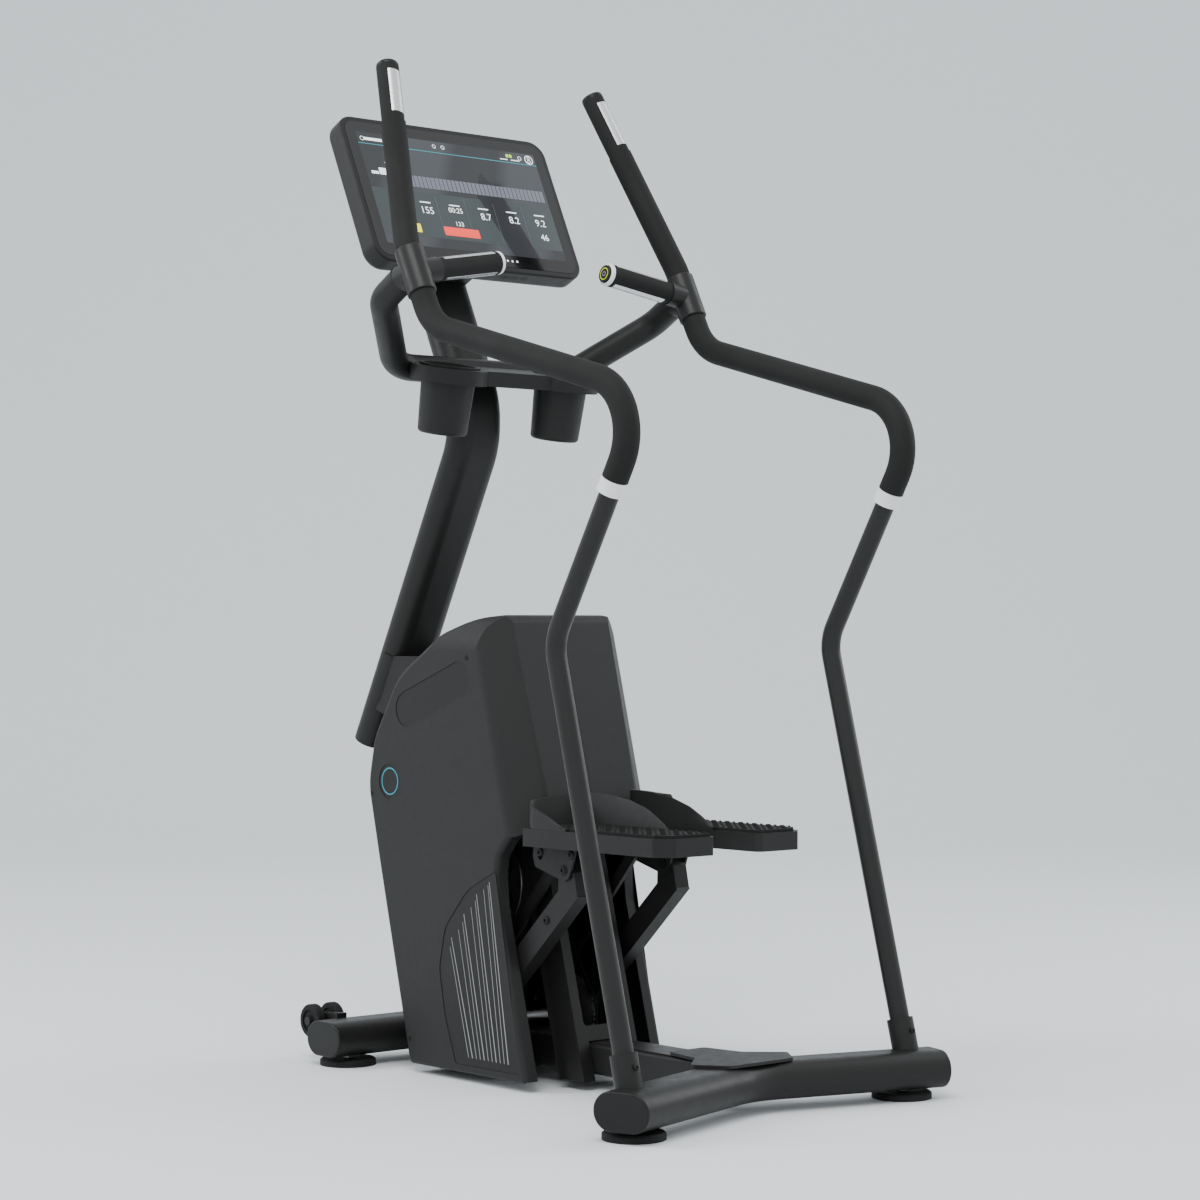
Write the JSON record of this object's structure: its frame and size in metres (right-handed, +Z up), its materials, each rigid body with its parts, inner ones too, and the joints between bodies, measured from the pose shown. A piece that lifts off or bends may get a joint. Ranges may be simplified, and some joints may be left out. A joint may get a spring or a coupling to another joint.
{
  "type": "stair climber",
  "caption": "Free-standing stair climber with two linked step arms on a Y-shaped base, a curved mast, bent handrails, cup holders and a tilted touch console.",
  "frame": {"origin": "on the floor under the middle of the machine's bounding box", "axes": "+Z up, the user stands on the -Y side and faces +Y, +X to the user's right"},
  "size_m": [0.7284, 1.1544, 1.7655],
  "materials": {
    "grip_rubber": "matte",
    "rubber": "matte",
    "black_cast": "painted",
    "brushed_steel": "brushed",
    "ring_white": "gloss",
    "lime_plastic": "satin",
    "glass": "gloss",
    "display": "matte",
    "machined_steel": "satin",
    "aluminium": "cast",
    "black_plastic": "textured",
    "trim_plastic": "satin",
    "black_paint": "satin powder coat"
  },
  "bodies": {
    "frame": {"alternator": "aluminium", "base_spine": "black_paint", "centre_frame": "black_paint", "console_bracket": "black_paint", "console_display": "display", "console_glass": "glass", "console_housing": "black_plastic", "contact_plates": "brushed_steel", "cover_trim": "trim_plastic", "cup_holders": "black_plastic", "cup_tray": "black_plastic", "drive_loops": "rubber", "front_crossbar": "black_paint", "grip_caps": "black_plastic", "grip_rings": "ring_white", "handrail_sockets": "black_paint", "inner_frame": "black_paint", "left_grips": "grip_rubber", "left_hand_sleeves": "grip_rubber", "left_handrail_tee": "black_paint", "left_handrail_tube": "black_paint", "left_side_cover": "black_plastic", "levelling_pads": "rubber", "levelling_studs": "machined_steel", "mast": "black_paint", "mast_collar": "black_plastic", "pivot_frame": "black_paint", "pivot_pins": "machined_steel", "rear_crossbar": "black_paint", "right_grips": "grip_rubber", "right_hand_sleeves": "grip_rubber", "right_handrail_tee": "black_paint", "right_handrail_tube": "black_paint", "right_side_cover": "black_plastic", "spine_cover": "black_plastic", "tube_caps": "black_plastic", "wheel_fittings": "machined_steel", "yoke": "black_paint"},
    "right_arm": {"right_step_arm": "black_paint", "right_arm_sprocket": "machined_steel"},
    "right_link": {"right_step_link": "black_paint"},
    "right_pedal": {"right_step_pedal": "black_cast", "right_tread_mat": "rubber", "right_toe_guard": "black_plastic", "right_pedal_pins": "machined_steel"},
    "right_clutch": {"right_clutch_sprocket": "machined_steel"},
    "right_button": {"right_cross_button": "lime_plastic"},
    "right_wheel_pair": {"right_transport_wheels": "rubber"},
    "left_arm": {"left_step_arm": "black_paint", "left_arm_sprocket": "machined_steel"},
    "left_link": {"left_step_link": "black_paint"},
    "left_pedal": {"left_step_pedal": "black_cast", "left_tread_mat": "rubber", "left_toe_guard": "black_plastic", "left_pedal_pins": "machined_steel"},
    "left_clutch": {"left_clutch_sprocket": "machined_steel"},
    "left_button": {"left_cross_button": "lime_plastic"},
    "left_wheel_pair": {"left_transport_wheels": "rubber"},
    "drive_shaft_set": {"drive_shaft": "machined_steel"},
    "rotor": {"alternator_rotor": "machined_steel"}
  },
  "joints": [
    {"name": "right_arm_swing", "type": "hinge", "parent": "frame", "child": "right_arm", "pos_m": [0.111, 0.1093, 0.1], "axis": [1, 0, 0], "range_deg": [0, 40], "stiffness_Nm_per_rad": 60, "springref_deg": -51.57},
    {"name": "right_link_swing", "type": "hinge", "parent": "frame", "child": "right_link", "pos_m": [0.084, 0.1693, 0.12], "axis": [1, 0, 0], "range_deg": [0, 40]},
    {"name": "right_pedal_level", "type": "hinge", "parent": "right_arm", "child": "right_pedal", "pos_m": [0.111, -0.1357, 0.377], "axis": [1, 0, 0], "range_deg": [-40, 0]},
    {"name": "right_clutch_turn", "type": "hinge", "parent": "frame", "child": "right_clutch", "pos_m": [0.093, 0.2113, 0.33], "axis": [1, 0, 0], "range_deg": [0, 132]},
    {"name": "right_button_press", "type": "slide", "parent": "frame", "child": "right_button", "axis": [0.9847, -0.0505, -0.1667], "range_m": [0, 0.002], "stiffness_N_per_m": 900, "springref_m": -0.0008},
    {"name": "right_wheel_roll", "type": "hinge", "parent": "frame", "child": "right_wheel_pair", "pos_m": [0.179, 0.4843, 0.07], "axis": [1, 0, 0], "continuous": true},
    {"name": "left_arm_swing", "type": "hinge", "parent": "frame", "child": "left_arm", "pos_m": [-0.111, 0.1093, 0.1], "axis": [1, 0, 0], "range_deg": [0, 40], "stiffness_Nm_per_rad": 60, "springref_deg": -51.57},
    {"name": "left_link_swing", "type": "hinge", "parent": "frame", "child": "left_link", "pos_m": [-0.084, 0.1693, 0.12], "axis": [1, 0, 0], "range_deg": [0, 40]},
    {"name": "left_pedal_level", "type": "hinge", "parent": "left_arm", "child": "left_pedal", "pos_m": [-0.111, -0.1357, 0.377], "axis": [1, 0, 0], "range_deg": [-40, 0]},
    {"name": "left_clutch_turn", "type": "hinge", "parent": "frame", "child": "left_clutch", "pos_m": [-0.093, 0.2113, 0.33], "axis": [1, 0, 0], "range_deg": [0, 132]},
    {"name": "left_button_press", "type": "slide", "parent": "frame", "child": "left_button", "axis": [-0.9847, -0.0505, -0.1667], "range_m": [0, 0.002], "stiffness_N_per_m": 900, "springref_m": -0.0008},
    {"name": "left_wheel_roll", "type": "hinge", "parent": "frame", "child": "left_wheel_pair", "pos_m": [-0.179, 0.4843, 0.07], "axis": [1, 0, 0], "continuous": true},
    {"name": "rotor_spin", "type": "hinge", "parent": "frame", "child": "rotor", "pos_m": [0, 0.2963, 0.5], "axis": [1, 0, 0], "continuous": true},
    {"name": "drive_shaft_spin", "type": "hinge", "parent": "frame", "child": "drive_shaft_set", "pos_m": [0, 0.2113, 0.33], "axis": [1, 0, 0], "continuous": true}
  ],
  "couplings": [
    {"joint": "right_link_swing", "follows": "right_arm_swing", "ratio": 1},
    {"joint": "right_pedal_level", "follows": "right_arm_swing", "ratio": -1},
    {"joint": "right_clutch_turn", "follows": "right_arm_swing", "ratio": 3.3},
    {"joint": "left_link_swing", "follows": "left_arm_swing", "ratio": 1},
    {"joint": "left_pedal_level", "follows": "left_arm_swing", "ratio": -1},
    {"joint": "left_clutch_turn", "follows": "left_arm_swing", "ratio": 3.3},
    {"joint": "drive_shaft_spin", "follows": "rotor_spin", "ratio": 0.21296}
  ]
}
